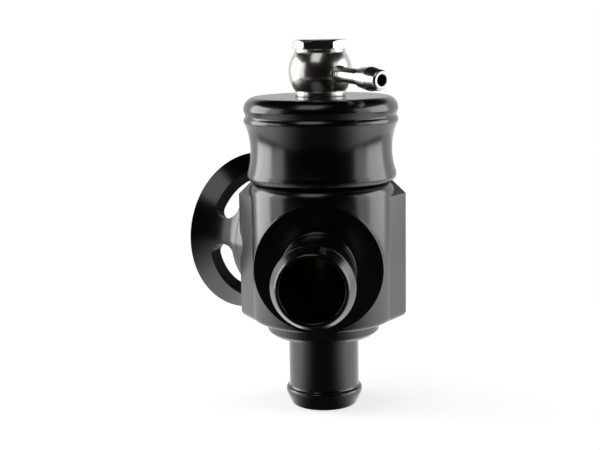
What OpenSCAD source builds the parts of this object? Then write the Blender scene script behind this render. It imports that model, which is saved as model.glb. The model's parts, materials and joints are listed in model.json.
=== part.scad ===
// Dual-port piston blow-off valve for a turbocharged engine.
// Millimetres, +Z up. The origin is the centre of the inlet's mouth, the valve's axis is Z,
// and the recirculation port points along -Y.

/* [Body] */
// Diameter of the round front of the body
body_d = 41.4; // [40:0.1:44]
// Height of the body from the inlet flange to the cap
body_h = 39.7; // [38:0.1:44]
// Distance across the flats of the two side ears
ear_flats = 41; // [40:0.1:43]
// Radius of the rounded top of the ears
ear_round = 4.3; // [2:0.1:5]
// Radius of the rounded top of the body
body_top_round = 3.2; // [1:0.1:3.4]
// Radius of the rounded foot of the body and the ears
body_foot_round = 1.9; // [0.5:0.1:2.4]

/* [Piston] */
// Diameter of the piston's bore
piston_bore_d = 25; // [22:0.1:25.6]
// Length of the piston
piston_h = 30; // [29:0.1:31]
// Lift of the piston from its seat to its stop
piston_lift = 14; // [8:0.5:14]
// Wall of the piston's skirt
piston_wall = 2.6; // [2.4:0.1:3.4]
// Thickness of the piston's crown
piston_crown = 4; // [3:0.1:6]
// Diameter of the return spring's wire
spring_wire = 1.8; // [1.2:0.1:2]
// Number of turns of the return spring
spring_turns = 8; // [6:1:10]

/* [Cap] */
// Height of the cap
cap_h = 23.6; // [22.6:0.1:26]
// Largest diameter of the cap, at its lip
cap_d = 43.3; // [42.6:0.1:45]
// Diameter of the cap at its waist
cap_waist_d = 39.8; // [39:0.1:41]
// Radius of the hollow round the cap's waist
cap_hollow_r = 19; // [16:0.5:24]
// Diameter of the threaded neck that carries the cap
neck_d = 33.8; // [32:0.1:35]
// Height of the threaded neck
neck_h = 12; // [11:0.1:13]
// Thickness of the cap's roof
cap_roof = 5; // [4:0.1:6]

/* [Hose tails] */
// Outside diameter of the hose tails
hose_d = 20; // [19:0.1:21]
// Bore of the hose tails and of the trumpet's throat
port_bore = 16.7; // [15:0.1:17]
// Diameter of the bead that holds the hose
bead_d = 21.9; // [21.4:0.1:23]
// Height of the bead's crest above the mouth
bead_rise = 4; // [3:0.1:5]
// Length of the inlet tail below its flange
inlet_len = 21; // [16:0.5:40]
// Length of the recirculation tail in front of its flange
recirculation_len = 25.4; // [16:0.5:40]
// Diameter of the inlet flange
inlet_flange_d = 32.1; // [31:0.1:36]
// Thickness of the inlet flange
inlet_flange_t = 4.3; // [3.5:0.1:6]
// Diameter of the inlet's threaded spigot
inlet_spigot_d = 26; // [25.8:0.1:27]
// Length of the inlet's threaded spigot
inlet_spigot_h = 7.5; // [6.5:0.1:7.8]

/* [Side ports] */
// Height of the recirculation port's axis above the foot of the body
recirculation_rise = 17.7; // [17:0.1:19]
// Height of the trumpet's axis above the recirculation port's axis
trumpet_rise = 3.5; // [2:0.1:4]
// Angle from the recirculation port round to the trumpet
trumpet_angle = 137; // [120:1:180]
// Distance from the valve's axis to the flats that carry the side fittings
port_seat = 17.6; // [17:0.1:18.5]
// Bore of the two side ports in the body
port_window_d = 16; // [14:0.1:16.5]
// Diameter of the flange on each side fitting
port_flange_d = 35.4; // [34:0.1:36]
// Thickness of the recirculation flange
port_flange_t = 2; // [1.6:0.1:3]
// Diameter of the threaded spigot on each side fitting
port_spigot_d = 23; // [21:0.1:23.5]
// Length of the threaded spigot on each side fitting
port_spigot_h = 3.6; // [2.5:0.1:3.7]

/* [Trumpet] */
// Diameter of the trumpet's mouth
trumpet_d = 47.5; // [44:0.1:52]
// Distance from the valve's axis to the trumpet's mouth
trumpet_reach = 32.5; // [31:0.1:38]
// Length of the trumpet's outer ring
trumpet_ring_h = 6.9; // [5:0.1:9]
// Diameter of the outer ring where it meets the windows
trumpet_ring_d = 42.4; // [40:0.1:44]
// Bore of the trumpet at its windows
trumpet_inner_d = 34; // [28:0.1:36]
// Width of the windows along the trumpet's axis
window_w = 4.6; // [4.2:0.1:4.8]
// Number of spokes between the windows
spoke_count = 3; // [2:1:5]
// Angle that each spoke takes
spoke_angle = 24; // [16:1:50]
// Angle of the first spoke above the level
spoke_start = 9; // [0:1:60]

/* [Vacuum fitting] */
// Distance across the flats of the banjo bolt's head
bolt_flats = 14; // [13:0.1:16]
// Height of the banjo bolt's head
bolt_head_h = 2.6; // [2.2:0.1:6]
// Diameter of the banjo bolt's shank
bolt_d = 10; // [8:0.1:10.4]
// Diameter of the ball-shaped banjo eye
eye_d = 17.7; // [16:0.1:20]
// Height of the banjo eye between its washers
eye_h = 10.8; // [9:0.1:12]
// Diameter of the sealing washers
washer_d = 14.2; // [13.5:0.1:16]
// Thickness of the lower sealing washer
lower_washer_t = 1.4; // [1:0.1:2]
// Thickness of the upper sealing washer
upper_washer_t = 0.8; // [0.5:0.1:2]
// Direction of the vacuum nipple, turned from the front to the right
nipple_angle = 40; // [0:1:90]
// Angle by which the nipple points down
nipple_tilt = 3.5; // [0:0.5:8]
// Distance from the bolt's axis to the nipple's mouth
nipple_reach = 27; // [24:0.5:34]
// Diameter of the nipple's tube
nipple_d = 4.3; // [4:0.1:5]
// Diameter of the nipple's barb
nipple_barb_d = 6.5; // [6:0.1:7.5]
// Bore of the nipple
nipple_bore = 3.1; // [2:0.1:3.2]

/* [Seals and fits] */
// Thickness of the cord of the O-rings
seal_cord = 1.8; // [1.6:0.1:2]
// Room round an O-ring in its groove
seal_room = 0.05; // [0.02:0.01:0.1]
// Radial clearance of the piston in its bore and of the eye on its bolt
running_gap = 0.05; // [0.02:0.01:0.1]
// Radial clearance of the threads
thread_gap = 0.05; // [0.02:0.01:0.1]

/* [Hidden] */
$fn = 96;
overlap = 1;
cut_len = 100;

// Levels along the valve's axis
body_foot = inlet_len + inlet_flange_t;
body_top = body_foot + body_h;
port_z = body_foot + recirculation_rise;
trumpet_z = port_z + trumpet_rise;
spigot_top = body_foot + inlet_spigot_h;
seat_lip = 0.6;
seat_z = spigot_top + seat_lip;
// Upper end of the inlet's bore, inside the seat lip
bore_top = spigot_top + seat_lip / 2;
piston_top = seat_z + piston_h;
neck_top = body_top + neck_h;
stop_gap = 0.3;
cap_step = max(neck_top, piston_top + piston_lift) + stop_gap;
cap_top = body_top + cap_h;
roof_z = cap_top - cap_roof;
washer_z = cap_top;
eye_z = washer_z + lower_washer_t;
eye_mid = eye_z + eye_h / 2;
upper_washer_z = eye_z + eye_h;
bolt_head_z = upper_washer_z + upper_washer_t;

// Piston, its rings and its spring
piston_r = piston_bore_d / 2 - running_gap;
skirt_r = piston_r - piston_wall;
ring_land = 1.5;
ring_w = 2.2;
ring_t = 1.2;
ring_slit = 0.8;
groove_w = seal_cord + 0.6;
wear_ring_z = piston_top - ring_land - ring_w;
piston_seal_z = wear_ring_z - ring_land - groove_w / 2;
seat_ring_in = 9;
seat_ring_out = 11;
seat_ring_t = 1.2;
spring_gap = 0.8;
spring_r = skirt_r - spring_gap - spring_wire / 2;
spring_seat_t = 1;
spring_foot = seat_z + piston_crown;
spring_end = roof_z - spring_seat_t;
pocket_r = spring_r + spring_wire / 2 + spring_gap;

// Side fittings
port_face = port_seat + port_flange_t;
port_spigot_end = port_seat - port_spigot_h;
flange_gap = 0.05;
bead_land = 0.8;
bead_round = 0.9;
seal_r = (port_spigot_d / 2 + port_flange_d / 2) / 2 - 1.2;
inlet_seal_r = (inlet_spigot_d + inlet_flange_d) / 4;
hub_end = trumpet_reach - trumpet_ring_h - window_w;
throat_land = 1;
throat_z = port_seat + throat_land;
window_relief = 0.4;

BLACK = [0.06, 0.06, 0.065];
BRASS = [0.80, 0.62, 0.25];
NICKEL = [0.78, 0.77, 0.74];
RUBBER = [0.10, 0.10, 0.10];
TEFLON = [0.90, 0.88, 0.82];
STEEL = [0.60, 0.61, 0.63];

// Points of an arc, from angle a to angle b
function arc(centre, r, a, b, steps = 6) =
    [for (i = [0 : steps]) let (t = a + (b - a) * i / steps) centre + r * [cos(t), sin(t)]];

// Turns a profile of radius and height round the Z axis
module turned() {
    rotate_extrude() children();
}

// A ring of rectangular section
module ring(inner_r, outer_r, z, h) {
    translate([0, 0, z])
        difference() {
            cylinder(r = outer_r, h = h);
            translate([0, 0, -overlap]) cylinder(r = inner_r, h = h + 2 * overlap);
        }
}

// An O-ring whose cord runs at radius r and height z
module o_ring(r, z) {
    turned() translate([r, z]) circle(d = seal_cord, $fn = 32);
}

// Places a fitting whose own axis is Z on a side port
module on_port(angle, z) {
    translate([0, 0, z]) rotate([0, 0, -angle]) rotate([90, 0, 0]) children();
}

// Half section of a beaded hose tail, with its mouth at zero and its root at height len
function tail_section(len) = let (tube = hose_d / 2, crest = bead_d / 2, bore = port_bore / 2)
    concat([[bore, 0], [tube - 0.9, 0], [tube - 0.5, 0.4], [crest, bead_rise - bead_land / 2]],
           arc([crest - bead_round, bead_rise + bead_land / 2], bead_round, 0, 60),
           [[tube, bead_rise + 1.6], [tube, len], [bore, len]]);

module body() {
    color(BLACK)
    difference() {
        union() {
            body_outside();
            cylinder(d = neck_d, h = neck_top);
        }
        translate([0, 0, body_foot - overlap])
            cylinder(r = inlet_spigot_d / 2 + thread_gap, h = inlet_spigot_h + overlap);
        cylinder(d = piston_bore_d, h = cut_len);
        cylinder(d = neck_d + overlap, h = body_foot);
        seal_groove_on_neck();
        port_recess(0, port_z);
        port_recess(trumpet_angle, trumpet_z);
    }
}

// Half section of the body with rounded edges. Reach is its half width, and stretch is 1 on the
// round body, or the ratio of corner to flat on the ears.
function rounded_section(reach, top_round, stretch = 1) =
    let (foot = arc([reach - body_foot_round, body_foot + body_foot_round], body_foot_round, -90, 0),
         top = arc([reach - top_round, body_top - top_round], top_round, 0, 90))
    concat([[0, body_foot]], [for (p = concat(foot, top)) [p[0] * stretch, p[1]]], [[0, body_top]]);

// The round body with its two side ears and the flats of the side ports
module body_outside() {
    corner = 1 / cos(30);
    ear_r = ear_flats / 2 * corner;
    difference() {
        union() {
            turned() polygon(rounded_section(body_d / 2, body_top_round));
            intersection() {
                rotate_extrude($fn = 6) polygon(rounded_section(ear_flats / 2, ear_round, corner));
                translate([-cut_len / 2, -ear_r / 2, 0]) cube([cut_len, ear_r, cut_len]);
            }
            intersection() {
                union() {
                    port_boss(0, port_z);
                    port_boss(trumpet_angle, trumpet_z);
                }
                translate([0, 0, body_foot]) cylinder(d = cut_len, h = body_h);
            }
        }
        port_spot_face(0, port_z);
        port_spot_face(trumpet_angle, trumpet_z);
    }
}

module port_boss(angle, z) {
    on_port(angle, z) cylinder(d = port_flange_d, h = port_seat);
}

module port_spot_face(angle, z) {
    on_port(angle, z)
        translate([0, 0, port_seat]) cylinder(r = port_flange_d / 2 + flange_gap, h = cut_len);
}

// The port's bore, the thread for its fitting and the groove for its O-ring
module port_recess(angle, z) {
    on_port(angle, z) {
        cylinder(d = port_window_d, h = port_seat);
        translate([0, 0, port_spigot_end - flange_gap])
            cylinder(r = port_spigot_d / 2 + thread_gap, h = port_spigot_h + flange_gap + overlap);
        seal_groove(seal_r, port_seat - seal_cord - 2 * seal_room, overlap);
    }
}

// A flat groove for an O-ring at radius r, open above level z
module seal_groove(r, z, spare = 0) {
    side = seal_cord / 2 + seal_room;
    ring(r - side, r + side, z, 2 * side + spare);
}

module seal_groove_on_neck() {
    ring(neck_d / 2 - seal_cord - seal_room, neck_d / 2 + overlap, body_top + ring_land, groove_w);
}

module cap() {
    color(BLACK)
    difference() {
        turned() cap_section();
        cylinder(r = neck_d / 2 + thread_gap, h = cap_step);
        cylinder(r = pocket_r, h = roof_z);
        cylinder(r = bolt_d / 2 + thread_gap, h = cut_len * 2);
    }
}

// Half section of the cap: a domed top, a groove under its edge, a lip and a hollow waist
module cap_section() {
    lip_r = cap_d / 2;
    top_round = 3.4;
    foot_round = 1.6;
    groove_z = cap_top - 5.3;
    lip_z = groove_z - 1.2;
    flare_r = lip_r - 0.55;
    waist_z = body_top + 8.8;
    difference() {
        polygon(concat(
            [[0, body_top], [flare_r - foot_round, body_top]],
            arc([flare_r - foot_round, body_top + foot_round], foot_round, -80, 20),
            [[lip_r, body_top + 3], [lip_r, lip_z + 0.4], [lip_r - 0.55, groove_z]],
            arc([lip_r - top_round, cap_top - top_round], top_round, -5, 80, 8),
            [[lip_r - top_round - 2, cap_top], [0, cap_top]]));
        translate([cap_waist_d / 2 + cap_hollow_r, waist_z]) circle(r = cap_hollow_r, $fn = 180);
    }
}

module cap_o_ring() {
    color(RUBBER)
    o_ring(neck_d / 2 - seal_cord / 2, body_top + ring_land + groove_w / 2);
}

module inlet_tail() {
    flange_r = inlet_flange_d / 2;
    spigot_r = inlet_spigot_d / 2;
    bore = port_bore / 2;
    lip_in = (seat_ring_in + seat_ring_out) / 2 - 0.6;
    color(BLACK)
    difference() {
        turned() union() {
            polygon(tail_section(inlet_len + overlap));
            polygon([[bore, inlet_len], [flange_r - 1.4, inlet_len], [flange_r, inlet_len + 1.2],
                     [flange_r, body_foot], [spigot_r, body_foot], [spigot_r, spigot_top],
                     [lip_in + 1.2, spigot_top], [lip_in + 1.2, seat_z], [lip_in, seat_z],
                     [lip_in, bore_top], [bore, bore_top]]);
        }
        seal_groove(inlet_seal_r, body_foot - seal_cord - 2 * seal_room, overlap);
    }
}

module inlet_o_ring() {
    color(RUBBER)
    o_ring(inlet_seal_r, body_foot - seal_cord / 2 - seal_room);
}

module recirculation_tail() {
    flange_r = port_flange_d / 2;
    edge = 0.4;
    root_r = hose_d / 2 + 0.7;
    bore = port_bore / 2;
    color(BLACK)
    on_port(0, port_z)
    union() {
        translate([0, 0, port_face + recirculation_len]) mirror([0, 0, 1])
            turned() polygon(tail_section(recirculation_len + overlap));
        turned() polygon([[bore, port_spigot_end], [port_spigot_d / 2, port_spigot_end],
                          [port_spigot_d / 2, port_seat], [flange_r, port_seat],
                          [flange_r, port_face - edge], [flange_r - edge, port_face],
                          [root_r, port_face], [hose_d / 2 + 0.2, port_face + 0.2],
                          [hose_d / 2 - 0.2, port_face + 0.8], [bore, port_face + 0.8]]);
    }
}

module recirculation_o_ring() {
    color(RUBBER)
    on_port(0, port_z) o_ring(seal_r, port_seat - seal_cord / 2 - seal_room);
}

module trumpet_o_ring() {
    color(RUBBER)
    on_port(trumpet_angle, trumpet_z) o_ring(seal_r, port_seat - seal_cord / 2 - seal_room);
}

// The bell, turned in one piece and cut through by windows that leave spokes
module trumpet() {
    window_angle = 360 / spoke_count - spoke_angle;
    color(BLACK)
    on_port(trumpet_angle, trumpet_z)
    difference() {
        turned() trumpet_section();
        for (i = [0 : spoke_count - 1])
            rotate([0, 0, spoke_start + spoke_angle / 2 + i * 360 / spoke_count])
                trumpet_window(window_angle);
    }
}

// Half section of the trumpet: spigot, hub, windowed shoulder and outer ring round a flared bore
module trumpet_section() {
    hub_r = port_flange_d / 2;
    rim_r = trumpet_d / 2;
    edge = 0.4;
    lip = 1.4;
    land = 0.4;
    bore = port_bore / 2;
    inner_r = trumpet_inner_d / 2;
    window_end = hub_end + window_w;
    difference() {
        polygon([[0, port_spigot_end], [port_spigot_d / 2, port_spigot_end],
                 [port_spigot_d / 2, port_seat], [hub_r, port_seat], [hub_r, hub_end + land],
                 [trumpet_ring_d / 2, window_end - land], [rim_r, trumpet_reach - edge],
                 [rim_r - edge, trumpet_reach], [0, trumpet_reach]]);
        polygon([[-overlap, port_spigot_end - overlap], [bore, port_spigot_end - overlap],
                 [bore, throat_z], [inner_r - 3, hub_end + land], [inner_r, window_end - land],
                 [rim_r - lip, trumpet_reach], [rim_r - lip, trumpet_reach + overlap],
                 [-overlap, trumpet_reach + overlap]]);
    }
}

// One window: a slot through the shoulder that spans an angle and has round ends
module trumpet_window(angle) {
    near = port_bore / 2;
    far = trumpet_d;
    end_turn = asin(window_w / trumpet_ring_d);
    ends = [end_turn, angle - end_turn];
    translate([0, 0, hub_end]) linear_extrude(window_w)
        polygon(concat(arc([0, 0], far, ends[0], ends[1], 4), [near * [cos(ends[1]), sin(ends[1])],
                       near * [cos(ends[0]), sin(ends[0])]]));
    for (turn = ends)
        rotate([0, 0, turn]) translate([near, 0, hub_end + window_w / 2]) rotate([0, 90, 0])
            cylinder(d = window_w - window_relief, h = far);
}

module piston() {
    color(BRASS)
    difference() {
        turned() polygon([[0, seat_z], [piston_r - 0.6, seat_z], [piston_r, seat_z + 0.6],
                          [piston_r, piston_top - 0.5], [piston_r - 0.5, piston_top],
                          [skirt_r, piston_top], [skirt_r, spring_foot], [0, spring_foot]]);
        ring(seat_ring_in - seal_room, seat_ring_out + seal_room, seat_z - overlap,
             seat_ring_t + seal_room + overlap);
        ring(piston_r - ring_t - seal_room, piston_r + overlap, wear_ring_z - seal_room,
             ring_w + 2 * seal_room);
        ring(piston_r - seal_cord - 2 * seal_room, piston_r + overlap,
             piston_seal_z - groove_w / 2, groove_w);
    }
}

module piston_o_ring() {
    color(RUBBER)
    o_ring(piston_r - seal_cord / 2, piston_seal_z);
}

module piston_wear_ring() {
    color(TEFLON)
    difference() {
        ring(piston_r - ring_t, piston_r, wear_ring_z, ring_w);
        translate([-ring_slit / 2, 0, wear_ring_z - overlap])
            cube([ring_slit, cut_len, ring_w + 2 * overlap]);
    }
}

module piston_seat_ring() {
    color(RUBBER)
    ring(seat_ring_in, seat_ring_out, seat_z, seat_ring_t);
}

// A round wire wound from the piston's crown to the seat under the cap's roof, with closed ends
module return_spring() {
    sides = 8;
    per_turn = 20;
    steps = spring_turns * per_turn;
    wire_r = spring_wire / 2;
    low = spring_foot + wire_r + seal_room;
    high = spring_end - wire_r - seal_room;
    closed = spring_wire + 0.1;
    coil = [for (i = [0 : steps]) wire_ring(i / per_turn, low, high, closed, wire_r, sides)];
    points = [for (section = coil) each section];
    skin = [for (i = [0 : steps - 1], j = [0 : sides - 1])
        let (a = i * sides + j, b = i * sides + (j + 1) % sides)
        [a, b, b + sides, a + sides]];
    start = [for (j = [sides - 1 : -1 : 0]) j];
    end = [for (j = [0 : sides - 1]) steps * sides + j];
    color(STEEL) polyhedron(points, concat([start], skin, [end]));
}

// Height of the wire's centre after a number of turns: the first and last turns lie closed
function wire_height(turn, low, high, closed) =
    turn < 1 ? low + closed * turn :
    turn > spring_turns - 1 ? high - closed * (spring_turns - turn) :
    low + closed + (high - low - 2 * closed) * (turn - 1) / (spring_turns - 2);

function wire_ring(turn, low, high, closed, wire_r, sides) =
    let (z = wire_height(turn, low, high, closed))
    [for (j = [0 : sides - 1])
        let (t = -360 * j / sides, r = spring_r + wire_r * cos(t))
        [r * cos(360 * turn), r * sin(360 * turn), z + wire_r * sin(t)]];

module spring_seat() {
    color(STEEL)
    ring(bolt_d / 2 + 0.4, pocket_r - seal_room, roof_z - spring_seat_t, spring_seat_t);
}

// A hollow bolt whose cross holes feed the groove inside the eye
module banjo_bolt() {
    shank_r = bolt_d / 2;
    corner_r = bolt_flats / 2 / cos(30);
    edge = 0.5;
    passage_d = 4;
    color(NICKEL)
    difference() {
        union() {
            translate([0, 0, roof_z]) cylinder(r = shank_r, h = bolt_head_z - roof_z);
            intersection() {
                translate([0, 0, bolt_head_z]) cylinder(r = corner_r, h = bolt_head_h, $fn = 6);
                turned() polygon([[0, bolt_head_z], [corner_r - edge, bolt_head_z],
                                  [corner_r, bolt_head_z + edge],
                                  [corner_r, bolt_head_z + bolt_head_h - edge],
                                  [corner_r - 2 * edge, bolt_head_z + bolt_head_h],
                                  [0, bolt_head_z + bolt_head_h]]);
            }
        }
        translate([0, 0, roof_z - overlap]) cylinder(d = passage_d, h = eye_mid - roof_z + overlap);
        for (turn = [0, 90])
            translate([0, 0, eye_mid]) rotate([0, 90, turn])
                cylinder(d = 2.4, h = cut_len, center = true, $fn = 32);
    }
}

module lower_washer() {
    color(NICKEL)
    ring(bolt_d / 2 + thread_gap, washer_d / 2, washer_z, lower_washer_t);
}

module upper_washer() {
    color(NICKEL)
    ring(bolt_d / 2 + thread_gap, washer_d / 2, upper_washer_z, upper_washer_t);
}

// The ball of the banjo, cut flat above and below, with a groove round the bolt
module banjo_eye() {
    groove_d = bolt_d + 2;
    groove_h = 4;
    socket_d = nipple_d + 0.6;
    color(NICKEL)
    difference() {
        intersection() {
            translate([0, 0, eye_mid]) sphere(d = eye_d);
            translate([0, 0, eye_z]) cylinder(d = 2 * eye_d, h = eye_h);
        }
        cylinder(r = bolt_d / 2 + running_gap, h = 2 * cut_len);
        translate([0, 0, eye_mid - groove_h / 2]) cylinder(d = groove_d, h = groove_h);
        on_nipple() cylinder(d = socket_d, h = eye_d, $fn = 32);
    }
}

// Places what lies along the nipple's axis
module on_nipple() {
    on_port(-nipple_angle, eye_mid) rotate([nipple_tilt, 0, 0]) children();
}

// The nipple pushed into the eye: a collar, a tube and a barb
module vacuum_nipple() {
    socket_r = nipple_d / 2 + 0.3;
    tube_r = nipple_d / 2;
    barb_r = nipple_barb_d / 2;
    bore = nipple_bore / 2;
    root = bolt_d / 2 + 1.2;
    collar = eye_d / 2 + 0.6;
    barb_len = 8.3;
    crest = nipple_reach - 4;
    color(NICKEL)
    on_nipple()
    turned() polygon([[bore, root], [socket_r - thread_gap, root], [socket_r - thread_gap, collar],
                      [tube_r, collar + 0.3], [tube_r, nipple_reach - barb_len],
                      [barb_r - 0.5, nipple_reach - barb_len], [barb_r, crest - 0.4],
                      [barb_r, crest + 0.2], [tube_r + 0.55, nipple_reach - 0.4],
                      [tube_r + 0.2, nipple_reach], [bore + 0.2, nipple_reach],
                      [bore, nipple_reach - 0.3]]);
}

body();
cap();
cap_o_ring();
inlet_tail();
inlet_o_ring();
recirculation_tail();
recirculation_o_ring();
trumpet();
trumpet_o_ring();
piston();
piston_o_ring();
piston_wear_ring();
piston_seat_ring();
return_spring();
spring_seat();
banjo_bolt();
lower_washer();
upper_washer();
banjo_eye();
vacuum_nipple();
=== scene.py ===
"""Looks of a dual-port piston blow-off valve: black anodised turnings and a plated banjo fitting."""

import json
import math

import bmesh
import bpy
from mathutils import Matrix, Vector


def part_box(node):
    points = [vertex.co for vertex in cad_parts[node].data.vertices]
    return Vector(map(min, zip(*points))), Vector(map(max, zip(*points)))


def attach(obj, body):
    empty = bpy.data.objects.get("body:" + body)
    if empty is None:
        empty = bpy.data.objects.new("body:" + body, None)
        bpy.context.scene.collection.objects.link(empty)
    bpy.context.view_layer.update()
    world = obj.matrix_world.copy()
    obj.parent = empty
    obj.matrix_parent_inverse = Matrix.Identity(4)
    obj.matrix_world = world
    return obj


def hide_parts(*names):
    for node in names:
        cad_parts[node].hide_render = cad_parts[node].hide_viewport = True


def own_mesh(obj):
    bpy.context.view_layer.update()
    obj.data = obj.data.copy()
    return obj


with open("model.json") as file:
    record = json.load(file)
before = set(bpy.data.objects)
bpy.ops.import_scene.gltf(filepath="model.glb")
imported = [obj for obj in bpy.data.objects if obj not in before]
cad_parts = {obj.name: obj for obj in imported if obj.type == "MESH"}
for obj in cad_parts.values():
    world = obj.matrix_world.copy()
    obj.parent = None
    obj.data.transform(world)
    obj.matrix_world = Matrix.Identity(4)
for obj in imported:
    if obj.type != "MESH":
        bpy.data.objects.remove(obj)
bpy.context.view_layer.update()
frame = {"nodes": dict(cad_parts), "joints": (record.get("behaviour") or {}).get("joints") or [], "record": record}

bl_info = {
    "name": "Blow-off valve",
    "version": (1, 0, 0),
    "blender": (4, 5, 0),
    "location": "View3D > Sidebar > Valve",
    "description": "Dresses a piston blow-off valve with turned pieces, finishes and a small studio",
    "category": "Object",
}

MM = 0.001
# Faces round the small pieces of the fitting
SMALL_STEPS = 96
HOUSING = "housing"
BANJO = "banjo"
LIFT_JOINT = "piston_lift"


def radius(node):
    """Half the width of a node that is turned round the valve's axis."""
    low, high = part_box(node)
    return (high.x - low.x) / 2


def levels(node):
    """Lowest and highest level of a node."""
    low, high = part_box(node)
    return low.z, high.z


def mount(name):
    """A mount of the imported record, by name."""
    return next(m for m in frame["record"]["mounts"] if m["name"] == name)


# Values that several pieces share, read from the frame

INLET_LOW, INLET_HIGH = levels("inlet_tail")
BODY_FOOT, NECK_TOP = levels("body")
BODY_TOP, CAP_TOP = levels("cap")
PORT_Z = mount("recirculation_bore")["pos_m"][2]
PORT_AXIS = Vector(mount("recirculation_bore")["axis"])
TAIL_MOUTH = -mount("recirculation_bore")["pos_m"][1]
TRUMPET_SEAL = sum(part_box("trumpet_o_ring"), Vector()) / 2
TRUMPET_Z = TRUMPET_SEAL.z
TRUMPET_AXIS = Vector((TRUMPET_SEAL.x, TRUMPET_SEAL.y, 0)).normalized()
PORT_BORE = mount("inlet_bore")["dims"]["r_mm"] * MM
BEAD_R = mount("inlet_hose_bead")["dims"]["r_mm"] * MM
BARB_R = mount("vacuum_hose_barb")["dims"]["r_mm"] * MM
NIPPLE_AXIS = Vector(mount("vacuum_hose_barb")["axis"])
EYE_LOW, EYE_HIGH = levels("banjo_eye")
EYE_MID = Vector((0, 0, (EYE_LOW + EYE_HIGH) / 2))
SPRING_LOW, SPRING_HIGH = levels("return_spring")
LIFT = next(j for j in frame["joints"] if j["name"] == LIFT_JOINT)["range_m"][1]

# Sizes of the seats that several pieces share, and the clearance at threads and holes

CLEARANCE = 0.05 * MM
SEAT = 17.6 * MM
FLANGE_R = 17.7 * MM
SPIGOT_R = 11.5 * MM
SPIGOT_END = SEAT - 3.6 * MM
SEAL_R = 13.4 * MM
SEAL_HALF = 0.95 * MM
INLET_SPIGOT_R = 13.0 * MM
INLET_SPIGOT_TOP = INLET_HIGH - 0.6 * MM
BOLT_R = 5.0 * MM
BOLT_HOLE_R = BOLT_R + CLEARANCE


class ValveSizes(bpy.types.PropertyGroup):
    """Sizes of the turned pieces that a user would change."""

    edge: bpy.props.FloatProperty(
        name="Edge", description="Rounding of machined edges", default=0.22 * MM,
        unit="LENGTH", precision=6)
    plated_edge: bpy.props.FloatProperty(
        name="Plated edge", description="Rounding of the edges of plated pieces", default=0.16 * MM,
        unit="LENGTH", precision=6)
    hose: bpy.props.FloatProperty(
        name="Hose tail", description="Radius of the hose tails behind their beads", default=10.0 * MM,
        unit="LENGTH", precision=6)
    waist: bpy.props.FloatProperty(
        name="Cap waist", description="Radius of the cap at its waist", default=19.9 * MM,
        unit="LENGTH", precision=6)
    hollow: bpy.props.FloatProperty(
        name="Cap hollow", description="Radius of the hollow round the cap's waist", default=19.0 * MM,
        unit="LENGTH", precision=6)
    body: bpy.props.FloatProperty(
        name="Body", description="Radius of the round front of the body", default=20.7 * MM,
        unit="LENGTH", precision=6)
    ear_flats: bpy.props.FloatProperty(
        name="Ear flats", description="Distance across the flats of the ears", default=41.0 * MM,
        unit="LENGTH", precision=6)
    top_round: bpy.props.FloatProperty(
        name="Top round", description="Rounding of the top of the body", default=3.2 * MM,
        unit="LENGTH", precision=6)
    ear_chamfer: bpy.props.FloatProperty(
        name="Ear chamfer", description="Height of the chamfer on top of the ears", default=3.87 * MM,
        unit="LENGTH", precision=6)
    ear_chamfer_width: bpy.props.FloatProperty(
        name="Ear chamfer width", description="Width of the chamfer on top of the ears", default=3.44 * MM,
        unit="LENGTH", precision=6)
    foot_round: bpy.props.FloatProperty(
        name="Foot round", description="Rounding of the foot of the body and the ears", default=1.9 * MM,
        unit="LENGTH", precision=6)
    neck: bpy.props.FloatProperty(
        name="Neck", description="Radius of the neck that carries the cap", default=16.9 * MM,
        unit="LENGTH", precision=6)
    piston_bore: bpy.props.FloatProperty(
        name="Piston bore", description="Radius of the piston's bore", default=12.5 * MM,
        unit="LENGTH", precision=6)
    port_window: bpy.props.FloatProperty(
        name="Port window", description="Radius of the side ports in the body", default=8.0 * MM,
        unit="LENGTH", precision=6)
    trumpet_mouth: bpy.props.FloatProperty(
        name="Trumpet mouth", description="Radius of the trumpet's mouth", default=23.75 * MM,
        unit="LENGTH", precision=6)
    trumpet_ring: bpy.props.FloatProperty(
        name="Trumpet waist", description="Radius of the trumpet's spokes at their root", default=17.1 * MM,
        unit="LENGTH", precision=6)
    trumpet_reach: bpy.props.FloatProperty(
        name="Trumpet reach", description="Distance from the valve's axis to the trumpet's mouth",
        default=32.5 * MM, unit="LENGTH", precision=6)
    window: bpy.props.FloatProperty(
        name="Window", description="Width of the trumpet's windows", default=7.0 * MM,
        unit="LENGTH", precision=6)
    turn_steps: bpy.props.IntProperty(
        name="Turning steps", description="Faces round a turned piece", default=192)


class ValveFinishes(bpy.types.PropertyGroup):
    """Colours and glosses that a user would change."""

    black: bpy.props.FloatVectorProperty(
        name="Black", description="Colour of the black anodised pieces", default=(0.0005, 0.0005, 0.0005),
        subtype="COLOR")
    nickel: bpy.props.FloatVectorProperty(
        name="Nickel", description="Colour of the plated pieces", default=(0.68, 0.66, 0.62),
        subtype="COLOR")
    brass: bpy.props.FloatVectorProperty(
        name="Brass", description="Colour of the piston", default=(0.72, 0.50, 0.17),
        subtype="COLOR")
    rubber: bpy.props.FloatVectorProperty(
        name="Rubber", description="Colour of the seals", default=(0.012, 0.012, 0.012),
        subtype="COLOR")
    plastic: bpy.props.FloatVectorProperty(
        name="Plastic", description="Colour of the wear ring", default=(0.78, 0.77, 0.72),
        subtype="COLOR")
    steel: bpy.props.FloatVectorProperty(
        name="Steel", description="Colour of the spring and its seat", default=(0.50, 0.51, 0.53),
        subtype="COLOR")
    black_gloss: bpy.props.FloatProperty(
        name="Black roughness", description="Roughness of the black anodised pieces", default=0.21,
        subtype="FACTOR", min=0, max=1)


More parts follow.
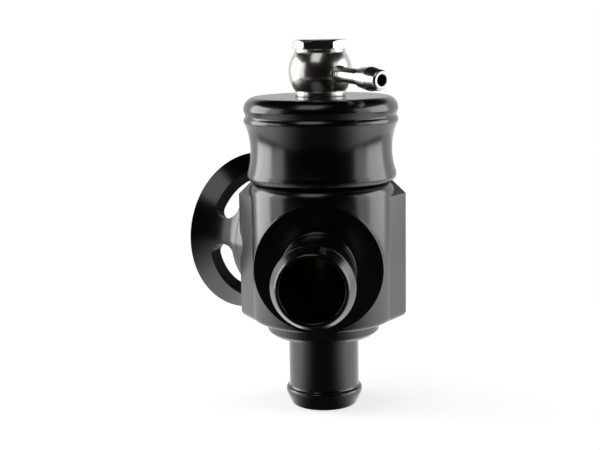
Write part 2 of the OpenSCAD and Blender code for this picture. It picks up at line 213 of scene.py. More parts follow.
class Maths:
    """A socket of a node tree, with operators that add Math nodes."""

    def __init__(self, tree, socket):
        self.tree = tree
        self.socket = socket

    def node(self, kind, settings=None, output=0, **values):
        """Adds a node of a type, sets its settings, then its sockets' values or links."""
        made = self.tree.nodes.new(kind)
        for key, value in (settings or {}).items():
            setattr(made, key, value)
        for key, value in values.items():
            name = key.replace("_", " ")
            socket = made.inputs[int(name[3:])] if name.startswith("in ") else made.inputs[name]
            if isinstance(value, Maths):
                self.tree.links.new(value.socket, socket)
            else:
                socket.default_value = value
        return Maths(self.tree, made.outputs[output])

    def maths(self, operation, first, second):
        """Adds a Math node of two values or sockets."""
        return self.node("ShaderNodeMath", {"operation": operation}, in_0=first, in_1=second)

    def __add__(self, other):
        return self.maths("ADD", self, other)

    __radd__ = __add__

    def __mul__(self, other):
        return self.maths("MULTIPLY", self, other)

    __rmul__ = __mul__

    def __sub__(self, other):
        return self.maths("SUBTRACT", self, other)

    def __rsub__(self, other):
        return self.maths("SUBTRACT", other, self)


# The frame's own plain materials carry the bare slot names
FINISH_PREFIX = "finish_"
WHITE = (1, 1, 1, 1)


def new_material(name):
    """An empty material, its tree wrapped for shader maths, and its output node."""
    material = bpy.data.materials.new(FINISH_PREFIX + name)
    material.use_nodes = True
    tree = material.node_tree
    tree.nodes.clear()
    output = tree.nodes.new("ShaderNodeOutputMaterial")
    return material, Maths(tree, None), output


def finish_surface(shade, output, **values):
    """Ends a material in one Principled shader with these values and links."""
    surface = shade.node("ShaderNodeBsdfPrincipled", None, 0, **values)
    shade.tree.links.new(surface.socket, output.inputs["Surface"])


def object_position(shade):
    """The place of a surface in its object's own coordinates."""
    return shade.node("ShaderNodeTexCoord", None, 3)


def noise(shade, position, scale):
    """A soft cloud from zero to one."""
    return shade.node("ShaderNodeTexNoise", None, 0, Vector=position, Scale=scale, Detail=2.0)


def smooth_step(shade, value, low, high):
    """Zero below the low value and one above the high one, with a soft change between."""
    return shade.node(
        "ShaderNodeMapRange", {"interpolation_type": "SMOOTHSTEP"}, 0,
        Value=value, From_Min=low, From_Max=high)


def part_of(shade, vector, axis):
    """One of the three parts of a vector."""
    return shade.node("ShaderNodeSeparateXYZ", None, axis, Vector=vector)


def glow(shade, strength):
    """A white emission."""
    return shade.node("ShaderNodeEmission", None, 0, Color=WHITE, Strength=strength)


def blend(shade, share, first, second):
    """The first shader where the share is zero, and the second where it is one."""
    return shade.node("ShaderNodeMixShader", None, 0, in_0=share, in_1=first, in_2=second)


def plain_finish(slot, colour, metallic, roughness, spread, scale):
    """A finish of one colour whose gloss is a little uneven."""
    material, shade, output = new_material(slot)
    cloud = noise(shade, object_position(shade), scale)
    finish_surface(
        shade, output, Base_Color=(*colour, 1), Metallic=metallic, Roughness=roughness + spread * cloud)
    return material


def black_anodised():
    """Dyed and sealed aluminium: a fine satin under a clear gloss, a little uneven."""
    looks = bpy.context.scene.valve_finishes
    material, shade, output = new_material("black_anodised")
    place = object_position(shade)
    cloud = noise(shade, place, 90.0)
    grain = noise(shade, place, 2600.0)
    rounded = shade.node("ShaderNodeBevel", {"samples": 6}, 0, Radius=bpy.context.scene.valve_sizes.edge)
    bump = shade.node(
        "ShaderNodeBump", None, 0, Strength=0.04, Distance=0.00002, Height=grain, Normal=rounded)
    finish_surface(
        shade, output, Base_Color=(*looks.black, 1), Metallic=0.0, IOR=1.85,
        Roughness=looks.black_gloss + 0.04 * (cloud - 0.5), Normal=bump)
    return material


def nickel():
    """Bright plate over polished brass, with faint polishing marks."""
    return plain_finish("nickel", bpy.context.scene.valve_finishes.nickel, 1.0, 0.17, 0.1, 240.0)


def brass():
    """Turned brass with fine tool marks."""
    looks = bpy.context.scene.valve_finishes
    material, shade, output = new_material("brass")
    place = object_position(shade)
    marks = shade.node(
        "ShaderNodeTexWave", {"wave_type": "BANDS", "bands_direction": "Z"}, 1,
        Vector=place, Scale=900.0, Distortion=0.4)
    bump = shade.node("ShaderNodeBump", None, 0, Strength=0.12, Distance=0.00002, Height=marks)
    finish_surface(
        shade, output, Base_Color=(*looks.brass, 1), Metallic=1.0,
        Roughness=0.2 + 0.1 * noise(shade, place, 300.0), Normal=bump)
    return material


def rubber():
    """Smooth moulded seals."""
    return plain_finish("rubber", bpy.context.scene.valve_finishes.rubber, 0.0, 0.45, 0.15, 400.0)


def plastic():
    """The white low-friction wear ring."""
    return plain_finish("ptfe", bpy.context.scene.valve_finishes.plastic, 0.0, 0.4, 0.1, 500.0)


def steel():
    """Drawn wire and pressed sheet."""
    return plain_finish("spring_steel", bpy.context.scene.valve_finishes.steel, 1.0, 0.25, 0.15, 700.0)


FINISHES = {
    "black_anodised": black_anodised,
    "nickel": nickel,
    "brass": brass,
    "rubber": rubber,
    "ptfe": plastic,
    "spring_steel": steel,
}


def finish(slot):
    """The material of a slot, made once."""
    return bpy.data.materials.get(FINISH_PREFIX + slot) or FINISHES[slot]()


def slot_of(node):
    """The material slot that the record gives a node."""
    return next(s["material_slot"] for s in frame["record"]["subparts"] if s["node"] == node)


def add_piece(name, mesh_data, body, *nodes):
    """Makes an object of a bmesh that rides on a body and stands for CAD nodes."""
    mesh = bpy.data.meshes.new(name)
    mesh_data.to_mesh(mesh)
    mesh_data.free()
    mesh.polygons.foreach_set("use_smooth", [True] * len(mesh.polygons))
    piece = bpy.data.objects.new(name, mesh)
    bpy.context.scene.collection.objects.link(piece)
    slot = slot_of(nodes[0])
    mesh.materials.append(finish(slot))
    weights = piece.modifiers.new("shading", "WEIGHTED_NORMAL")
    weights.keep_sharp = True
    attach(piece, body)
    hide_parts(*nodes)
    return piece


def turned(section, place=None, steps=None):
    """Spins a half section round Z. Each point is a radius, a height and the rounding of that corner."""
    steps = steps or bpy.context.scene.valve_sizes.turn_steps
    shape = bmesh.new()
    corners = [shape.verts.new((point[0], 0, point[1])) for point in section]
    roundings = [point[2] if len(point) > 2 else 0 for point in section]
    shape.faces.new(corners)
    for rounding in sorted(set(roundings) - {0}):
        chosen = [c for c, r in zip(corners, roundings) if r == rounding]
        bmesh.ops.bevel(
            shape, geom=chosen, offset=rounding, affect="VERTICES", segments=4, profile=0.5,
            material=-1, clamp_overlap=True)
    bmesh.ops.delete(shape, geom=shape.faces[:], context="FACES_ONLY")
    on_axis = [e for e in shape.edges if max(v.co.x for v in e.verts) < 1e-9]
    bmesh.ops.delete(shape, geom=on_axis, context="EDGES")
    bmesh.ops.spin(
        shape, geom=shape.verts[:] + shape.edges[:], cent=(0, 0, 0), axis=(0, 0, 1), dvec=(0, 0, 0),
        angle=math.tau, steps=steps, use_merge=True)
    bmesh.ops.remove_doubles(shape, verts=shape.verts[:], dist=1e-7)
    bmesh.ops.recalc_face_normals(shape, faces=shape.faces[:])
    if place:
        bmesh.ops.transform(shape, matrix=place, verts=shape.verts[:])
    return shape


def arc(centre, size, start, end, steps=6):
    """Points of an arc in a section, from one angle in degrees to another."""
    turns = [math.radians(start + (end - start) * i / steps) for i in range(steps + 1)]
    return [(centre[0] + size * math.cos(t), centre[1] + size * math.sin(t)) for t in turns]


def along(axis, origin):
    """A matrix that carries the Z axis onto an axis through a point."""
    return Matrix.Translation(origin) @ Vector((0, 0, 1)).rotation_difference(axis).to_matrix().to_4x4()


class VALVE_OT_stage(bpy.types.Operator):
    """Sets the floor, the soft boxes, the white surround and the camera"""

    bl_idname = "valve.stage"
    bl_label = "Stage"

    def execute(self, context):
        scene = context.scene
        scene.view_settings.view_transform = "Standard"
        add_floor()
        add_world(scene)
        add_lights()
        add_camera(scene)
        return {"FINISHED"}


# The floor's edges, the light that lifts its shadow, and how far from the valve the shadow fades
FLOOR_FRONT = -0.24
FLOOR_BACK = 0.6
FLOOR_SIDE = 0.2
FLOOR_COLOUR = (0.8, 0.8, 0.8, 1)
FLOOR_LIFT = 0.62
SHADOW_NEAR = 0.07
SHADOW_FAR = 0.2
# The floor's level in mirrored rays, in front and at the sides, and the headings between which it changes
GLOW_FRONT = 0.03
GLOW_SIDE = 1.2
GLOW_TURN = (-0.95, -0.1)


def add_floor():
    """A pale floor that a camera sees as white, apart from the object's own shadow."""
    shape = bmesh.new()
    bmesh.ops.create_grid(shape, x_segments=1, y_segments=1, size=1)
    middle = (FLOOR_BACK + FLOOR_FRONT) / 2
    bmesh.ops.scale(shape, vec=(FLOOR_SIDE, (FLOOR_BACK - FLOOR_FRONT) / 2, 1), verts=shape.verts[:])
    bmesh.ops.translate(shape, vec=(0, middle, 0), verts=shape.verts[:])
    mesh = bpy.data.meshes.new("floor")
    shape.to_mesh(mesh)
    shape.free()
    floor = bpy.data.objects.new("floor", mesh)
    bpy.context.scene.collection.objects.link(floor)
    mesh.materials.append(floor_finish())


def floor_finish():
    """White to the camera but for the shadow, diffuse to soft light, and dim in front to mirrored rays."""
    material, shade, output = new_material("floor")
    material.cycles.emission_sampling = "NONE"
    place = object_position(shade)
    away = shade.node("ShaderNodeVectorMath", {"operation": "LENGTH"}, 1, in_0=place)
    heading = shade.node("ShaderNodeVectorMath", {"operation": "NORMALIZE"}, 0, in_0=place)
    plain = shade.node("ShaderNodeBsdfDiffuse", None, 0, Color=FLOOR_COLOUR)
    shadowed = shade.node("ShaderNodeAddShader", None, 0, in_0=plain, in_1=glow(shade, FLOOR_LIFT))
    shown = blend(shade, smooth_step(shade, away, SHADOW_NEAR, SHADOW_FAR), shadowed, glow(shade, 1.0))
    aside = smooth_step(shade, part_of(shade, heading, 1), *GLOW_TURN)
    mirrored = blend(shade, aside, glow(shade, GLOW_FRONT), glow(shade, GLOW_SIDE))
    lit = blend(shade, mirrored_ray(shade), plain, mirrored)
    mixed = blend(shade, seen_directly(shade), lit, shown)
    shade.tree.links.new(mixed.socket, output.inputs["Surface"])
    return material


def mirrored_ray(shade):
    """One where a ray comes from a gloss, and otherwise zero."""
    return shade.node("ShaderNodeLightPath", None, 3)


def seen_directly(shade):
    """One where a camera ray, or a ray through glass, meets a surface, and otherwise zero."""
    camera = shade.node("ShaderNodeLightPath", None, 0)
    through = shade.node("ShaderNodeLightPath", None, 6)
    return shade.maths("MAXIMUM", camera, through)


# Levels of the room in mirrored rays, of its soft fill and of the backdrop in mirrored rays
ROOM_DIM = 0.006
ROOM_FILL = 0.2
BACKDROP = 0.82
# Between these parts of a ray's direction the backdrop begins behind the valve, and ends above it
BACKDROP_NEAR = (0.36, 0.52)
BACKDROP_TOP = (0.38, 0.52)


def add_world(scene):
    """A white surround for direct rays. Mirrored rays meet a white backdrop behind, and a dim room."""
    world = bpy.data.worlds.new("studio")
    scene.world = world
    world.use_nodes = True
    world.cycles.sampling_method = "NONE"
    tree = world.node_tree
    tree.nodes.clear()
    shade = Maths(tree, None)
    output = tree.nodes.new("ShaderNodeOutputWorld")
    direction = shade.node("ShaderNodeTexCoord", None, 0)
    behind = smooth_step(shade, part_of(shade, direction, 1), *BACKDROP_NEAR)
    above = smooth_step(shade, part_of(shade, direction, 2), *BACKDROP_TOP)
    glossy = mirrored_ray(shade)
    mirrored = glossy * (ROOM_DIM + (BACKDROP - ROOM_DIM) * (behind * (1 - above)))
    fill = (1 - glossy) * ROOM_FILL
    level = shade.maths("MAXIMUM", seen_directly(shade), mirrored + fill)
    background = shade.node("ShaderNodeBackground", None, 0, Color=WHITE, Strength=level)
    tree.links.new(background.socket, output.inputs["Surface"])


# Soft boxes: turn from the front toward the right and rise in degrees, distance, width, height, radiance
SOFT_BOXES = {
    "left_front": (-68, 11, 0.4, 0.15, 0.32, 1.25),
    "left_rear": (-100, 11, 0.4, 0.27, 0.32, 3.9),
    "right_front": (68, 11, 0.4, 0.15, 0.32, 1.1),
    "right_rear": (98, 11, 0.4, 0.27, 0.32, 2.8),
    "front_panel": (-18, 57, 0.7, 0.34, 0.44, 0.95),
}
# An area lamp of this power gives its surface a radiance of one
LAMP_POWER = math.pi


def heading_to(turn, rise):
    """The direction that lies a turn from the front toward the right, and a rise above level."""
    return Vector((math.sin(turn) * math.cos(rise), -math.cos(turn) * math.cos(rise), math.sin(rise)))


def add_lights():
    """Area lamps that face the front port's level on the valve's axis."""
    target = Vector((0, 0, PORT_Z))
    for name, (turn, rise, distance, width, height, radiance) in SOFT_BOXES.items():
        toward = heading_to(math.radians(turn), math.radians(rise))
        lamp = bpy.data.lights.new(name, "AREA")
        lamp.shape = "RECTANGLE"
        lamp.size = width
        lamp.size_y = height
        lamp.energy = LAMP_POWER * radiance * width * height
        holder = bpy.data.objects.new(name, lamp)
        holder.visible_camera = False
        bpy.context.scene.collection.objects.link(holder)
        aim = (-toward).to_track_quat("-Z", "Y").to_matrix().to_4x4()
        holder.matrix_world = Matrix.Translation(target + toward * distance) @ aim


# The photograph's frame, the camera's place in it and the pixel of the port's level on the valve's axis
IMAGE_SIZE = (600, 450)
VIEW_DISTANCE = 342.857 * MM
VIEW_TURN = math.radians(3.56)
VIEW_RISE = math.radians(11.27)
VIEW_ROLL = math.radians(-0.74)
PORT_PIXEL = (322.66, 255.99)
LENS_PIXELS = 1199.4
SENSOR = 36.0


def add_camera(scene):
    """A camera whose frame is the photograph's: the port's axis point falls on its own pixel."""
    target = Vector((0, 0, PORT_Z))
    away = heading_to(VIEW_TURN, VIEW_RISE)
    right = Vector((math.cos(VIEW_TURN), math.sin(VIEW_TURN), 0))
    up = right.cross(-away)
    looking = Matrix.Rotation(VIEW_ROLL, 3, away) @ Matrix((right, up, away)).transposed()
    offset = Vector(((PORT_PIXEL[0] - IMAGE_SIZE[0] / 2) / LENS_PIXELS,
                     (IMAGE_SIZE[1] / 2 - PORT_PIXEL[1]) / LENS_PIXELS, -1)).normalized()
    aim = offset.rotation_difference(Vector((0, 0, -1))).to_matrix()
    camera = bpy.data.cameras.new("camera")
    camera.sensor_width = SENSOR
    camera.lens = LENS_PIXELS * SENSOR / IMAGE_SIZE[0]
    camera.clip_start = 0.01
    holder = bpy.data.objects.new("camera", camera)
    scene.collection.objects.link(holder)
    turn = (looking @ aim).to_4x4()
    holder.matrix_world = Matrix.Translation(target + away * VIEW_DISTANCE) @ turn
    scene.camera = holder


def combined(first, second, operation):
    """One bmesh from two, by a Boolean modifier: UNION, DIFFERENCE or INTERSECT."""
    holders = []
    for shape in (first, second):
        mesh = bpy.data.meshes.new("blank")
        shape.to_mesh(mesh)
        shape.free()
        holder = bpy.data.objects.new("blank", mesh)
        bpy.context.scene.collection.objects.link(holder)
        holders.append(holder)
    cut = holders[0].modifiers.new("cut", "BOOLEAN")
    cut.solver = "MANIFOLD"
    cut.operation = operation
    cut.object = holders[1]
    ready = holders[0].evaluated_get(bpy.context.evaluated_depsgraph_get())
    result = bmesh.new()
    result.from_mesh(ready.to_mesh())
    ready.to_mesh_clear()
    for holder in holders:
        mesh = holder.data
        bpy.data.objects.remove(holder)
        bpy.data.meshes.remove(mesh)
    return result


def softened(shape, width, angle=25.0, segments=2):
    """Bevels every edge of a bmesh that is sharper than an angle."""
    bmesh.ops.remove_doubles(shape, verts=shape.verts[:], dist=1e-6)
    bmesh.ops.dissolve_limit(
        shape, angle_limit=math.radians(0.2), use_dissolve_boundaries=False,
        verts=shape.verts[:], edges=shape.edges[:])
    limit = math.radians(angle)
    sharp = [e for e in shape.edges if len(e.link_faces) == 2 and e.calc_face_angle(0) > limit]
    bmesh.ops.bevel(
        shape, geom=sharp, offset=width, offset_type="OFFSET", affect="EDGES", segments=segments,
        profile=0.5, material=-1, clamp_overlap=True)
    return shape


def crisp(shape, degrees=6.0):
    """Marks the edges of a bmesh that are sharper than an angle, so that smooth shading stops there."""
    limit = math.radians(degrees)
    for edge in shape.edges:
        edge.smooth = len(edge.link_faces) == 2 and edge.calc_face_angle(0) < limit
    return shape


def on_port(axis, level):
    """A matrix that carries the Z axis onto a level port's axis and the Y axis upright."""
    up = Vector((0, 0, 1))
    turn = Matrix((up.cross(axis), up, axis)).transposed().to_4x4()
    return Matrix.Translation((0, 0, level)) @ turn


def cylinder(size, low, high, place=None):
    """A plain round blank or cutter."""
    return turned([(0, low), (size, low), (size, high), (0, high)], place)


def ring(inner, outer, low, high, place=None):
    """A blank or cutter of rectangular section."""
    return turned([(inner, low), (outer, low), (outer, high), (inner, high)], place)


# The bead of a hose tail, by its distances from the mouth: end of the lead-in, crest and foot
BEAD_LEAD = 0.4 * MM
BEAD_FRONT = 3.6 * MM
BEAD_BACK = 4.4 * MM
BEAD_FOOT = 5.6 * MM
BEAD_ROUND = 0.9 * MM
TAIL_EDGE = 0.3 * MM


def hose_tail(mouth, way):
    """Section of a beaded hose tail from its mouth to its bead's foot, along its own axis. Way is one
    where the tail leads up from its mouth, and minus one where it leads down."""
    tube = bpy.context.scene.valve_sizes.hose
    crest = arc((BEAD_R - BEAD_ROUND, BEAD_BACK), BEAD_ROUND, 0, 60)
    points = [
        (PORT_BORE, 0, TAIL_EDGE), (tube - 0.9 * MM, 0, TAIL_EDGE), (tube - 0.5 * MM, BEAD_LEAD, TAIL_EDGE),
        (BEAD_R, BEAD_FRONT, TAIL_EDGE), *((r, z, 0) for r, z in crest), (tube, BEAD_FOOT, 0.4 * MM)]
    return [(r, mouth + way * z, rounding) for r, z, rounding in points]


class VALVE_OT_cap(bpy.types.Operator):
    """Turns the cap: a domed top, a groove under its edge, a lip and a hollow waist"""

    bl_idname = "valve.cap"
    bl_label = "Cap"

    def execute(self, context):
        sizes = context.scene.valve_sizes
        edge = sizes.edge
        lip = radius("cap")
        dome = 3.4 * MM
        foot = 1.6 * MM
        groove_in = 0.55 * MM
        flare = lip - groove_in
        groove_z = CAP_TOP - 5.3 * MM
        lip_z = groove_z - 0.8 * MM
        hollow_r = sizes.hollow
        hollow_at = (sizes.waist + hollow_r, BODY_TOP + 8.8 * MM)
        low_turn = math.degrees(math.acos((hollow_at[0] - flare + 0.1 * MM) / hollow_r))
        high_turn = math.degrees(math.acos((hollow_at[0] - lip) / hollow_r))
        neck = sizes.neck + CLEARANCE
        step_z = NECK_TOP + 0.7 * MM
        pocket = radius("spring_seat") + CLEARANCE
        roof_z = levels("spring_seat")[1]
        section = [
            (neck, BODY_TOP, edge), (flare - foot, BODY_TOP, 0),
            *arc((flare - foot, BODY_TOP + foot), foot, -80, 5, 12),
            *arc(hollow_at, hollow_r, 180 + low_turn, 180 - high_turn, 40),
            (lip, lip_z, edge), (lip - groove_in, groove_z, edge),
            *arc((lip - dome, CAP_TOP - dome), dome, -5, 80, 14),
            (lip - dome - 2 * MM, CAP_TOP, 1.5 * MM), (BOLT_HOLE_R, CAP_TOP, edge), (BOLT_HOLE_R, roof_z),
            (pocket, roof_z), (pocket, step_z), (neck, step_z)]
        add_piece("cap_turning", turned(section), HOUSING, "cap")
        return {"FINISHED"}


class VALVE_OT_hose_tails(bpy.types.Operator):
    """Turns the inlet tail and the recirculation tail with their flanges and beads"""

    bl_idname = "valve.hose_tails"
    bl_label = "Hose tails"

    def execute(self, context):
        sizes = context.scene.valve_sizes
        self.add_inlet(sizes.edge, sizes.hose)
        self.add_recirculation(sizes.edge, sizes.hose)
        return {"FINISHED"}

    def add_inlet(self, edge, tube):
        """The lower tail, with a bevelled flange, a spigot and the piston's seat on a raised lip."""
        flange = radius("inlet_tail")
        flange_z = BODY_FOOT - 4.3 * MM
        spigot = INLET_SPIGOT_R
        top = INLET_SPIGOT_TOP
        lip_in = 9.4 * MM
        lip_out = lip_in + 1.2 * MM
        section = [
            *hose_tail(INLET_LOW, 1), (tube, flange_z, 0.5 * MM), (flange - 1.4 * MM, flange_z, edge),
            (flange, flange_z + 1.2 * MM, edge), (flange, BODY_FOOT, edge), (spigot, BODY_FOOT, 0),
            (spigot, top, edge), (lip_out, top, 0), (lip_out, INLET_HIGH, 0), (lip_in, INLET_HIGH, 0),
            (lip_in, top, 0), (PORT_BORE, top, edge)]
        add_piece("inlet_turning", turned(section), HOUSING, "inlet_tail")

    def add_recirculation(self, edge, tube):
        """The front tail, with a small fillet where it leaves its flange."""
        face = SEAT + 2.0 * MM
        section = [
            *hose_tail(TAIL_MOUTH, -1), (tube - 0.2 * MM, face + 0.8 * MM, 0.2 * MM),
            (tube + 0.2 * MM, face + 0.2 * MM, 0.1 * MM), (tube + 0.7 * MM, face, 0.1 * MM),
            (FLANGE_R, face, edge), (FLANGE_R, SEAT, edge), (SPIGOT_R, SEAT, 0),
            (SPIGOT_R, SPIGOT_END, edge), (PORT_BORE, SPIGOT_END, edge)]
        place = on_port(PORT_AXIS, PORT_Z)
        add_piece("recirculation_turning", turned(section, place), HOUSING, "recirculation_tail")


def rounded_foot(reach, size):
    """The round at the foot of the body or of an ear, whose half width is given."""
    return arc((reach - size, BODY_FOOT + size), size, -90, 0, 20)


def round_front(sizes):
    """The body's round blank, with a rounded foot and top."""
    size = sizes.top_round
    top = arc((sizes.body - size, BODY_TOP - size), size, 0, 90, 28)
    return turned([(0, BODY_FOOT), *rounded_foot(sizes.body, sizes.foot_round), *top, (0, BODY_TOP)])


def side_ears(sizes):
    """The two ears: a hexagon with a chamfered top and a rounded foot, kept on the left and the right."""
    corner = 1 / math.cos(math.radians(30))
    reach = sizes.ear_flats / 2
    foot = rounded_foot(reach, sizes.foot_round)
    chamfer = [(reach, BODY_TOP - sizes.ear_chamfer), (reach - sizes.ear_chamfer_width, BODY_TOP)]
    section = [(0, BODY_FOOT), *((r * corner, z) for r, z in foot + chamfer), (0, BODY_TOP)]
    hexagon = turned(section, steps=6)
    keep = bmesh.new()
    bmesh.ops.create_cube(keep, size=1)
    bmesh.ops.scale(keep, vec=(4 * reach, reach * corner, 4 * BODY_TOP), verts=keep.verts[:])
    return combined(hexagon, keep, "INTERSECT")


class VALVE_OT_body(bpy.types.Operator):
    """Mills the body: a round front, two ears, flats for the side fittings, a neck and the bores"""

    bl_idname = "valve.body"
    bl_label = "Body"

    def execute(self, context):
        sizes = context.scene.valve_sizes
        ports = (on_port(PORT_AXIS, PORT_Z), on_port(TRUMPET_AXIS, TRUMPET_Z))
        far = 2 * FLANGE_R
        boss_end = SEAT + 4 * MM
        groove_in = sizes.neck - 1.85 * MM
        groove_z = (BODY_TOP + 1.5 * MM, BODY_TOP + 3.9 * MM)
        shape = combined(round_front(sizes), side_ears(sizes), "UNION")
        for place in ports:
            shape = combined(shape, cylinder(FLANGE_R, 0, boss_end, place), "UNION")
        for place in ports:
            shape = combined(shape, cylinder(FLANGE_R + CLEARANCE, SEAT, far, place), "DIFFERENCE")
        shape = combined(shape, cylinder(sizes.neck, PORT_Z, NECK_TOP), "UNION")
        cutters = [
            ring(groove_in, sizes.neck + MM, *groove_z),
            cylinder(sizes.piston_bore, 0, 2 * NECK_TOP),
            cylinder(INLET_SPIGOT_R + CLEARANCE, 0, INLET_SPIGOT_TOP)]
        for place in ports:
            cutters += [
                cylinder(sizes.port_window, 0, SEAT, place),
                cylinder(SPIGOT_R + CLEARANCE, SPIGOT_END - CLEARANCE, far, place),
                ring(SEAL_R - SEAL_HALF, SEAL_R + SEAL_HALF, SEAT - 2 * SEAL_HALF, far, place)]
        for cutter in cutters:
            shape = combined(shape, cutter, "DIFFERENCE")
        add_piece("body_milling", crisp(shape), HOUSING, "body")
        return {"FINISHED"}


# The trumpet's spokes, by their number, the angle that each takes up and the turn of the first window
SPOKES = 3
SPOKE_ANGLE = 24
FIRST_WINDOW = 21
# How fast the flare opens toward the mouth, as a power of the way along it
FLARE_POWER = 1.7


def window_cutter(start, end, low, high, near, far):
    """A radial cutter whose outline spans an angle in degrees and a height, with round ends."""
    half = (high - low) / 2
    middle = (low + high) / 2
    shoulder = bpy.context.scene.valve_sizes.trumpet_ring + 1.5 * MM
    lean = math.degrees(half / shoulder)
    quarters = [math.radians(-90 + 15 * i) for i in range(13)]
    right = [(end - lean + lean * math.cos(t), middle + half * math.sin(t)) for t in quarters]
    left = [(start + lean - lean * math.cos(t), middle - half * math.sin(t)) for t in quarters]
    straight = [start + lean + (end - start - 2 * lean) * i / 24 for i in range(1, 24)]
    outline = right + [(a, high) for a in reversed(straight)] + left + [(a, low) for a in straight]
    shape = bmesh.new()
    for size in (near, far):
        loop = [shape.verts.new((size * math.cos(math.radians(a)), size * math.sin(math.radians(a)), z))
                for a, z in outline]
        shape.faces.new(loop)
    bmesh.ops.bridge_loops(shape, edges=shape.edges[:])
    bmesh.ops.recalc_face_normals(shape, faces=shape.faces[:])
    return shape


class VALVE_OT_trumpet(bpy.types.Operator):
    """Turns the trumpet and cuts the windows that leave its spokes"""

    bl_idname = "valve.trumpet"
    bl_label = "Trumpet"

    def execute(self, context):
        sizes = context.scene.valve_sizes
        window_high = sizes.trumpet_reach - 5.0 * MM
        window_low = window_high - sizes.window
        shape = turned(self.section(sizes, window_low, window_high))
        pitch = 360 // SPOKES
        for i in range(SPOKES):
            start = FIRST_WINDOW + i * pitch
            end = start + pitch - SPOKE_ANGLE
            cutter = window_cutter(start, end, window_low, window_high, PORT_BORE, 2 * sizes.trumpet_mouth)
            shape = combined(shape, cutter, "DIFFERENCE")
        place = on_port(TRUMPET_AXIS, TRUMPET_Z)
        bmesh.ops.transform(shape, matrix=place, verts=shape.verts[:])
        add_piece("trumpet_turning", crisp(shape, 20), HOUSING, "trumpet")
        return {"FINISHED"}

    def section(self, sizes, window_low, window_high):
        """Spigot, hub and hollow flare, with a conical bell inside."""
        edge = sizes.edge
        mouth = sizes.trumpet_reach
        rim = sizes.trumpet_mouth
        waist = sizes.trumpet_ring
        inner = 16.8 * MM
        lip = 0.4 * MM
        root = SEAT + 2.4 * MM
        throat = SEAT + 1.0 * MM
        flare = [(waist + (rim - waist) * t ** FLARE_POWER, root + (mouth - lip - root) * t, 0)
                 for t in (i / 24 for i in range(25))]
        return [
            (PORT_BORE, SPIGOT_END, edge), (SPIGOT_R, SPIGOT_END, edge), (SPIGOT_R, SEAT, 0),
            (FLANGE_R, SEAT, edge), (FLANGE_R, root, edge), *flare,
            (rim - lip, mouth, edge), (rim - 1.4 * MM, mouth, edge),
            (inner, window_high, edge), (inner - 3.2 * MM, window_low, edge), (PORT_BORE, throat, edge)]


class VALVE_OT_banjo(bpy.types.Operator):
    """Makes the plated banjo fitting: bolt, washers, ball eye and barbed nipple"""

    bl_idname = "valve.banjo"
    bl_label = "Banjo fitting"

    def execute(self, context):
        edge = context.scene.valve_sizes.plated_edge
        add_bolt(edge)
        for node in ("lower_washer", "upper_washer"):
            low, high = levels(node)
            sides = ((BOLT_HOLE_R, low), (radius(node), low), (radius(node), high), (BOLT_HOLE_R, high))
            section = [(r, z, edge) for r, z in sides]
            add_piece(node + "_ring", turned(section), HOUSING, node)
        add_eye(edge)
        add_nipple(edge)
        return {"FINISHED"}


def add_bolt(edge):
    """A hexagon head with chamfered corners on a drilled shank."""
    low, high = levels("banjo_bolt")
    head_z = levels("upper_washer")[1]
    corner = radius("banjo_bolt")
    outer = corner + 0.02 * MM
    passage = 2.0 * MM
    root_z = head_z + 0.4 * MM
    drill_z = EYE_MID.z
    head = bmesh.new()
    bmesh.ops.create_cone(
        head, cap_ends=True, segments=6, radius1=corner, radius2=corner, depth=high - head_z)
    turn = Matrix.Rotation(math.radians(30), 3, "Z")
    bmesh.ops.rotate(head, cent=(0, 0, 0), matrix=turn, verts=head.verts[:])
    bmesh.ops.translate(head, vec=(0, 0, (high + head_z) / 2), verts=head.verts[:])
    chamfers = turned([
        (0, head_z), (corner - 0.5 * MM, head_z), (outer, head_z + 0.5 * MM),
        (outer, high - 0.7 * MM), (corner - 1.3 * MM, high), (0, high)])
    head = softened(combined(head, chamfers, "INTERSECT"), edge)
    stem = turned([
        (passage, low, edge), (BOLT_R, low, edge), (BOLT_R, root_z, 0), (0, root_z, 0), (0, drill_z, 0),
        (passage, drill_z - 1 * MM, 0)], steps=SMALL_STEPS)
    add_piece("banjo_bolt_hexagon", combined(head, stem, "UNION"), HOUSING, "banjo_bolt")


def add_eye(edge):
    """A ball cut flat above and below, with a groove round the inside of its bore."""
    half = (EYE_HIGH - EYE_LOW) / 2
    ball = radius("banjo_eye")
    bore = BOLT_HOLE_R
    groove = 6.0 * MM
    groove_half = 2.0 * MM
    turn = math.degrees(math.asin(half / ball))
    section = [
        (bore, -half, edge), *arc((0, 0), ball, -turn, turn, 40), (bore, half, edge),
        (bore, groove_half, 0), (groove, groove_half, 0), (groove, -groove_half, 0), (bore, -groove_half, 0)]
    add_piece("banjo_eye_ball", turned(section, Matrix.Translation(EYE_MID)), BANJO, "banjo_eye")


def add_nipple(edge):
    """A drilled tube with a collar at the eye and a barb at its mouth."""
    crest = (Vector(mount("vacuum_hose_barb")["pos_m"]) - EYE_MID).length
    mouth = crest + 4.1 * MM
    ball = radius("banjo_eye")
    tube = 2.15 * MM
    bore = 1.55 * MM
    root = 6.2 * MM
    collar = ball + 0.6 * MM
    step = mouth - 8.3 * MM
    section = [
        (bore, root, 0), (tube + 0.25 * MM, root, 0), (tube + 0.25 * MM, collar, 0.1 * MM),
        (tube, collar + 0.3 * MM, 0.2 * MM), (tube, step, 0.15 * MM), (BARB_R - 0.5 * MM, step, edge),
        (BARB_R, crest - 0.3 * MM, edge), (BARB_R, crest + 0.3 * MM, edge),
        (tube + 0.55 * MM, mouth - 0.4 * MM, edge), (tube + 0.2 * MM, mouth, edge),
        (bore, mouth, edge)]
    place = along(NIPPLE_AXIS, EYE_MID)
    add_piece("vacuum_nipple_turning", turned(section, place, SMALL_STEPS), BANJO, "vacuum_nipple")


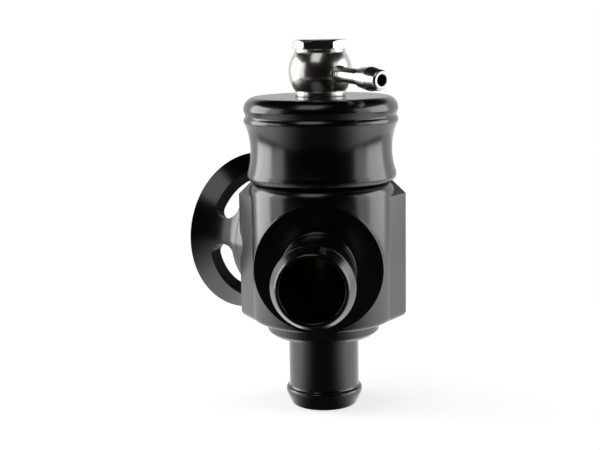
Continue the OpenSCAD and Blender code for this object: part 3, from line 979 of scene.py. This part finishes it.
class VALVE_OT_spring(bpy.types.Operator):
    """Winds the return spring, with a closed turn at each end"""

    bl_idname = "valve.spring"
    bl_label = "Return spring"

    def execute(self, context):
        wire = 0.9 * MM
        middle = radius("return_spring") - wire
        pitch = 2 * wire + 0.1 * MM
        open_turns = 6
        low = SPRING_LOW + wire
        high = SPRING_HIGH - wire
        open_rise = high - low - 2 * pitch
        shape = bmesh.new()
        section = bmesh.ops.create_circle(shape, cap_ends=True, segments=16, radius=wire)["verts"]
        upright = Matrix.Rotation(math.radians(90), 3, "X")
        bmesh.ops.rotate(shape, cent=(0, 0, 0), matrix=upright, verts=section)
        bmesh.ops.translate(shape, vec=(middle, 0, low), verts=section)
        last = shape.faces[:]
        for count, rise in ((1, pitch), (open_turns, open_rise), (1, pitch)):
            steps = 48 * count
            wound = bmesh.ops.spin(
                shape, geom=last, cent=(0, 0, 0), axis=(0, 0, 1), dvec=(0, 0, rise / steps),
                angle=math.tau * count, steps=steps, use_merge=False)
            last = [g for g in wound["geom_last"] if isinstance(g, bmesh.types.BMFace)]
        bmesh.ops.recalc_face_normals(shape, faces=shape.faces[:])
        spring = add_piece("return_spring_coil", shape, HOUSING, "return_spring")
        spring.modifiers.clear()
        length = SPRING_HIGH - SPRING_LOW
        keep = (length - LIFT) / length
        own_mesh(spring)
        return {"FINISHED"}


class VALVE_OT_inner_pieces(bpy.types.Operator):
    """Gives the pieces that stay as they are modelled their finishes"""

    bl_idname = "valve.inner_pieces"
    bl_label = "Inner pieces"

    def execute(self, context):
        for node, piece in frame["nodes"].items():
            if piece.hide_render:
                continue
            piece.data.materials.clear()
            piece.data.materials.append(finish(slot_of(node)))
        return {"FINISHED"}


PIECE_OPERATORS = (
    VALVE_OT_cap, VALVE_OT_hose_tails, VALVE_OT_body, VALVE_OT_trumpet, VALVE_OT_banjo, VALVE_OT_spring,
    VALVE_OT_inner_pieces, VALVE_OT_stage)


class VALVE_PT_sidebar(bpy.types.Panel):
    """Lists the pieces, the sizes and the finishes in the 3D view's sidebar"""

    bl_idname = "VALVE_PT_sidebar"
    bl_label = "Blow-off valve"
    bl_space_type = "VIEW_3D"
    bl_region_type = "UI"
    bl_category = "Valve"

    def draw(self, context):
        layout = self.layout
        for group in (context.scene.valve_sizes, context.scene.valve_finishes):
            for name in group.__annotations__:
                layout.prop(group, name)
        for operator in PIECE_OPERATORS:
            layout.operator(operator.bl_idname)


CLASSES = (ValveSizes, ValveFinishes, *PIECE_OPERATORS, VALVE_PT_sidebar)


def register():
    """Adds the classes, and keeps the sizes and finishes with the scene."""
    for each in CLASSES:
        bpy.utils.register_class(each)
    bpy.types.Scene.valve_sizes = bpy.props.PointerProperty(type=ValveSizes)
    bpy.types.Scene.valve_finishes = bpy.props.PointerProperty(type=ValveFinishes)


def unregister():
    """Takes away what register adds."""
    del bpy.types.Scene.valve_finishes
    del bpy.types.Scene.valve_sizes
    for each in reversed(CLASSES):
        bpy.utils.unregister_class(each)


def main():
    """Makes every piece and the stage."""
    register()
    bpy.ops.valve.cap()
    bpy.ops.valve.hose_tails()
    bpy.ops.valve.body()
    bpy.ops.valve.trumpet()
    bpy.ops.valve.banjo()
    bpy.ops.valve.spring()
    bpy.ops.valve.inner_pieces()
    bpy.ops.valve.stage()


if __name__ == "__main__":
    main()
